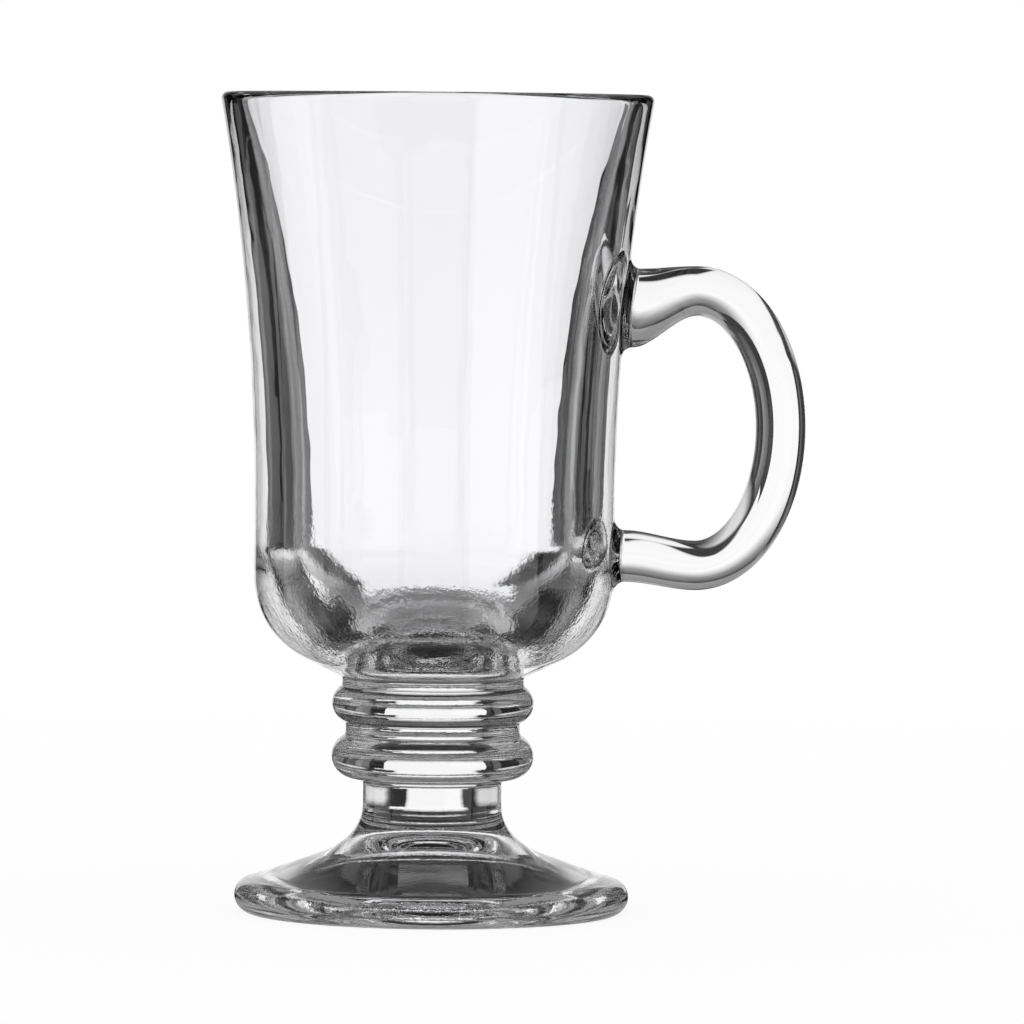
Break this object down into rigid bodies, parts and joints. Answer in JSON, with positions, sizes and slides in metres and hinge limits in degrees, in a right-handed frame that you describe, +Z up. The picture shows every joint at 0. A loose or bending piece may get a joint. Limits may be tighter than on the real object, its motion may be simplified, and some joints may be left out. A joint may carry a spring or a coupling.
{
  "type": "irish coffee glass mug",
  "caption": "Clear pressed-glass mug for hot drinks: flared bowl on ring knops, short neck and hollow round foot, with a loop handle on one side.",
  "frame": {"origin": "middle of the ring that the foot stands on, in the plane of the table", "axes": "+Z up along the axis of the bowl and stem, +X towards the handle, +Y to the left of someone looking along +X"},
  "size_m": [0.1059, 0.078, 0.148],
  "materials": {
    "clear_glass": "clear pressed soda-lime glass, fire-polished"
  },
  "bodies": {
    "root": {"foot": "clear_glass", "stem_neck": "clear_glass", "lower_knop": "clear_glass", "upper_knop": "clear_glass", "bowl": "clear_glass", "handle": "clear_glass"}
  },
  "joints": []
}
